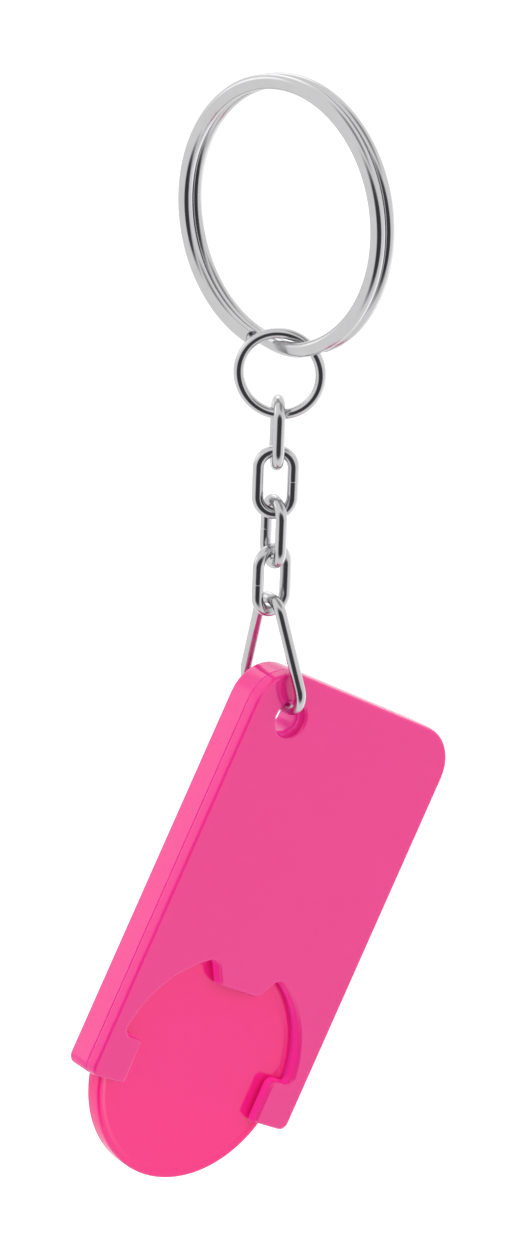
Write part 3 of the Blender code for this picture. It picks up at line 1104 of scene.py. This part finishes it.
    def build_tray(self, fit: Fit) -> Object:
        """Moulds the back half: a floor, and walls round the coin's pocket.

        Args:
            fit: Where the tray goes.

        Returns:
            The piece.
        """
        bm = bmesh.new()
        start = Vector((-self.pocket_side, -self.mouth, 0))
        end = Vector((self.pocket_side, -self.mouth, 0))
        draw_outline(bm, [Arc.plain(start), Arc.plain(end), *self.outer_arcs()])
        first = min(bm.verts, key=lambda vert: (vert.co - start).length)
        last = min(bm.verts, key=lambda vert: (vert.co - end).length)
        tip = Arc(Vector(), self.pocket_side, 0, math.pi, self.pocket_step).draw(bm, last)
        bm.edges.new((tip, first))
        self.fill(bm)
        under = list(bm.faces)
        bmesh.ops.translate(bm, vec=(0, 0, self.edge_rounding - self.front), verts=bm.verts)
        floor = self.lift(bm, under, self.floor - self.edge_rounding)
        walls = [face for face in floor if not self.in_pocket(face.calc_center_median())]
        rim_height = self.cover_underside - self.seam - self.seam_rounding
        rim = self.lift(bm, walls, rim_height - self.floor + self.front)
        bmesh.ops.recalc_face_normals(bm, faces=bm.faces)
        self.round_over(bm, under, self.edge_rounding, self.edge_steps)
        self.round_over(bm, rim, self.seam_rounding, self.seam_steps)
        return self.finish(bm, fit)

    def in_hole(self, point: Vector) -> bool:
        """Tells whether a point lies in the bore or on its wall."""
        return math.hypot(point.x - self.bore.x, point.y - self.bore.y) < self.bore_radius + WELD

    def in_pocket(self, point: Vector) -> bool:
        """Tells whether a point lies over the coin's pocket or on its wall.

        Args:
            point: A point in the holder's plane.

        Returns:
            Whether the pocket is there.
        """
        if point.y < 0:
            return abs(point.x) < self.pocket_side + WELD
        return math.hypot(point.x, point.y) < self.pocket_side + WELD

    def mark_painted_recess_light(self, bm: BMesh) -> None:
        """Marks the walls of the window, the pocket, the hole and the seam for painted light that lifts their shade.

        Args:
            bm: Mesh in the holder's plane.
        """
        painted_light_mark = bm.verts.layers.float.new(PAINTED_RECESS_LIGHT)
        low, high = self.floor - self.front + WELD, self.front - self.edge_rounding + WELD
        # Painted light: each wall gets its share of emission in place of the shade it would have
        for vert in bm.verts:
            height = vert.co.z
            if self.in_hole(vert.co) and height < high:
                vert[painted_light_mark] = self.hole_painted_light
            elif not low < height < high:
                continue
            elif self.in_pocket(vert.co):
                in_cover = height > self.cover_underside - WELD
                vert[painted_light_mark] = self.window_painted_light if in_cover else self.pocket_painted_light
            elif abs(height - self.cover_underside) < self.seam + self.seam_rounding - WELD:
                vert[painted_light_mark] = self.seam_painted_light


# Studio


@dataclass(frozen=True)
class Patch:
    """A soft-edged patch of the room that reflections see brighter or darker.

    Its half angle and its blur are in degrees.  A squash over one makes it wider than high.
    """

    toward: tuple[float, float, float]
    half_angle: float
    blur: float
    colour: str = WHITE
    strength: float = 1.0
    squash: float = 1.0

    def share(self, tree: NodeTree, direction: NodeSocket) -> NodeSocket:
        """Adds nodes that say how far a direction lies in the patch.

        Args:
            tree: The world's node tree.
            direction: Socket with the direction.

        Returns:
            Socket with a value from zero outside to one inside.
        """
        squash = Vector((1, 1, self.squash))
        aim = (Vector(self.toward) * squash).normalized()
        flat = add_node(tree, "VectorMath", {"operation": "MULTIPLY", 1: squash}, {0: direction})
        unit = add_node(tree, "VectorMath", {"operation": "NORMALIZE"}, {0: flat.outputs[0]})
        near = add_node(tree, "VectorMath", {"operation": "DOT_PRODUCT", 1: aim}, {0: unit.outputs[0]})
        rim = math.cos(math.radians(self.half_angle + self.blur))
        core = math.cos(math.radians(max(0.0, self.half_angle - self.blur)))
        limits = {"interpolation_type": "SMOOTHSTEP", "From Min": rim, "From Max": core}
        return add_node(tree, "MapRange", limits, {"Value": near.outputs["Value"]}).outputs["Result"]


@dataclass(frozen=True)
class SoftBox:
    """A square soft lamp that lights without showing in reflections."""

    name: str
    place: tuple[float, float, float]
    size: float
    watts: float

    def build(self, target: Vector) -> None:
        """Hangs the lamp and turns it to the object.

        Args:
            target: Point that the lamp looks at.
        """
        lamp = bpy.data.lights.new(self.name, "AREA")
        lamp.shape = "SQUARE"
        lamp.size = self.size
        lamp.energy = self.watts
        obj = bpy.data.objects.new(self.name, lamp)
        bpy.context.scene.collection.objects.link(obj)
        obj.location = self.place
        obj.rotation_euler = (target - obj.location).to_track_quat("-Z", "Y").to_euler()
        obj.visible_glossy = False


@dataclass
class Studio:
    """White room with its patches, soft lamps, a paper floor and the camera."""

    camera_place: tuple[float, float, float] = (-0.1974327, -0.252362, 0.0588454)
    camera_turn: tuple[float, float, float] = (71.067, -2.056, -37.206)
    lens: float = 103.15
    sensor: float = 36.0
    near: float = 0.01
    floor_height: float = -0.160
    floor_size: float = 3.0
    level: float = 0.80
    middle: tuple[float, float, float] = (0.0, 0.0, -0.06)
    lamps: tuple[SoftBox, ...] = (
        SoftBox("overhead_softbox", (-0.10, 0.10, 0.75), size=0.8, watts=2.2),
        SoftBox("left_softbox", (-0.70, 0.15, 0.25), size=0.6, watts=1.2),
        SoftBox("front_softbox", (0.25, -0.80, 0.15), size=0.7, watts=1.4),
    )
    # Panels low at the right and twice behind, a grey ceiling, a panel at the right, and the camera's dark side
    patches: tuple[Patch, ...] = (
        Patch((0.9, -0.05, -0.43), 24.0, 10.0, strength=1.4),
        Patch((-0.60, 0.75, 0.28), 13.0, 7.0, strength=1.6),
        Patch((0.30, 0.72, 0.60), 14.0, 8.0, strength=1.7),
        Patch((0.15, -0.42, 0.89), 20.0, 14.0, "#a4a4a4"),
        Patch((0.87, 0.35, 0.20), 18.0, 9.0, strength=1.1),
        Patch((-0.612, -0.783, -0.105), 45.0, 12.0, "#434346", squash=1.35),
    )

    def build(self) -> None:
        """Builds the studio round the object."""
        scene = bpy.context.scene
        scene.view_settings.view_transform = "Standard"
        self.build_world(scene)
        self.build_floor()
        for lamp in self.lamps:
            lamp.build(Vector(self.middle))
        self.build_camera(scene)

    def build_world(self, scene: Scene) -> None:
        """Paints the room: plain white to see and to light by, with its patches in reflections only.

        Args:
            scene: The scene.
        """
        world = bpy.data.worlds.new("white_room")
        scene.world = world
        world.use_nodes = True
        tree = world.node_tree
        tree.nodes.clear()
        output = add_node(tree, "OutputWorld")
        direction = add_node(tree, "TexCoord").outputs["Generated"]
        white = add_node(tree, "Background", {"Color": linear(WHITE)}).outputs[0]
        soft = add_node(tree, "Background", {"Color": linear(WHITE), "Strength": self.level}).outputs[0]
        shown = white
        for patch in self.patches:
            lit = add_node(tree, "Background", {"Color": linear(patch.colour), "Strength": patch.strength})
            share = patch.share(tree, direction)
            shown = add_node(tree, "MixShader", None, {0: share, 1: shown, 2: lit.outputs[0]}).outputs[0]
        path = add_node(tree, "LightPath").outputs
        unseen = add_node(tree, "MixShader", None, {0: path["Is Glossy Ray"], 1: soft, 2: shown})
        rays = {0: path["Is Camera Ray"], 1: path["Is Transmission Ray"]}
        seen = add_node(tree, "Math", {"operation": "MAXIMUM"}, rays)
        light = add_node(tree, "MixShader", None, {0: seen.outputs[0], 1: unseen.outputs[0], 2: white})
        tree.links.new(light.outputs[0], output.inputs["Surface"])

    def build_floor(self) -> None:
        """Lays the paper floor, which reflections pass by so that they show the room."""
        bm = bmesh.new()
        bmesh.ops.create_grid(bm, x_segments=1, y_segments=1, size=self.floor_size / 2)
        bmesh.ops.translate(bm, vec=(0, 0, self.floor_height), verts=bm.verts)
        mesh = bpy.data.meshes.new("paper_floor")
        bm.to_mesh(mesh)
        bm.free()
        mesh.materials.append(PaperFloor().make())
        floor = bpy.data.objects.new("paper_floor", mesh)
        bpy.context.scene.collection.objects.link(floor)
        floor.visible_glossy = False

    def build_camera(self, scene: Scene) -> None:
        """Sets up the camera at the photograph's angle.

        Args:
            scene: The scene.
        """
        lens = bpy.data.cameras.new("camera")
        lens.sensor_fit = "VERTICAL"
        lens.sensor_height = self.sensor
        lens.sensor_width = self.sensor
        lens.lens = self.lens
        lens.clip_start = self.near
        camera = bpy.data.objects.new("camera", lens)
        scene.collection.objects.link(camera)
        camera.location = self.camera_place
        camera.rotation_euler = [math.radians(turn) for turn in self.camera_turn]
        scene.camera = camera


@dataclass
class Keyring:
    """The whole keyring on its frame.

    The links' turns about the chain's line are in degrees, and their joints are shares of their lengths.
    """

    joints: dict[str, Vector]
    link_yaws: tuple[float, ...] = (58.0, -36.0, -102.0, 0.0)
    link_joints: tuple[float, ...] = (0.1, 0.1, 0.6, 0.6)
    slack: float = 0.2 * MM

    def at(self, joint: Joint) -> Vector:
        """Where a piece hangs."""
        return self.joints[joint.value]

    def wire_fit(self, node: str, slot: Slot, matrix: Matrix, plate: Material) -> Fit:
        """Fit of a wire piece, whose body has its node's name."""
        return Fit(f"{node}_wire", node, node, slot, matrix, plate)

    def build_metal(self) -> None:
        """Builds the rings, the chain and the bail."""
        ring_plate = NickelPlate("split_ring_nickel_plate").make()
        chain_plate = NickelPlate("chain_nickel_plate").make()
        ring = SplitRing()
        place = upright(Vector((0, 0, -ring.middle_depth)), ring.yaw)
        ring.build(self.wire_fit("split_ring", Slot.RING_NICKEL, place, ring_plate))
        jump = JumpRing()
        place = upright(self.at(Joint.JUMP_RING), jump.yaw)
        jump.build(self.wire_fit("jump_ring", Slot.CHAIN_NICKEL, place, chain_plate))
        hooks = (Joint.LINK_1, Joint.LINK_2, Joint.LINK_3, Joint.LINK_4)
        upper = jump.wire
        for number, (hook, yaw, joint_at) in enumerate(zip(hooks, self.link_yaws, self.link_joints), 1):
            link = ChainLink(contact=upper / 2 + ChainLink.wire / 2 + self.slack, joint_at=joint_at)
            place = upright(self.at(hook), yaw)
            link.build(self.wire_fit(f"chain_link_{number}", Slot.CHAIN_NICKEL, place, chain_plate))
            upper = link.wire
        bail = Bail()
        place = upright(self.at(Joint.BAIL), bail.yaw, bail.lean)
        bail.build(self.wire_fit("bail", Slot.CHAIN_NICKEL, place, chain_plate))

    def build_plastic(self) -> None:
        """Builds the holder and the coin."""
        plastic = MouldedPlastic("holder_pink_abs", colour="#eb2a8c", flow_colour="#ea288a").make()
        coin_plastic = MouldedPlastic("coin_pink_abs", colour="#f81c86", flow_colour="#f71b84", ior=1.56).make()
        coin = CoinShape()
        holder = Holder(coin)
        matrix = holder.matrix(self.at(Joint.HOLDER))
        tray = Fit("holder_tray", "holder_back", "holder", Slot.HOLDER_PLASTIC, matrix, plastic)
        holder.build_tray(tray)
        holder.build_cover(replace(tray, name="holder_cover", node="holder_front"))
        node = "trolley_coin"
        coin.build(Fit("trolley_coin_disc", node, node, Slot.COIN_PLASTIC, matrix, coin_plastic))


def main() -> None:
    """Builds the keyring on its frame, then the studio."""
    logging.basicConfig(level=logging.INFO, format="%(message)s", stream=sys.stdout)
    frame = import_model()
    joints = {joint["name"]: Vector(joint["pos_m"]) for joint in frame["joints"]}
    keyring = Keyring(joints)
    keyring.build_metal()
    keyring.build_plastic()
    Studio().build()


if __name__ == "__main__":
    main()
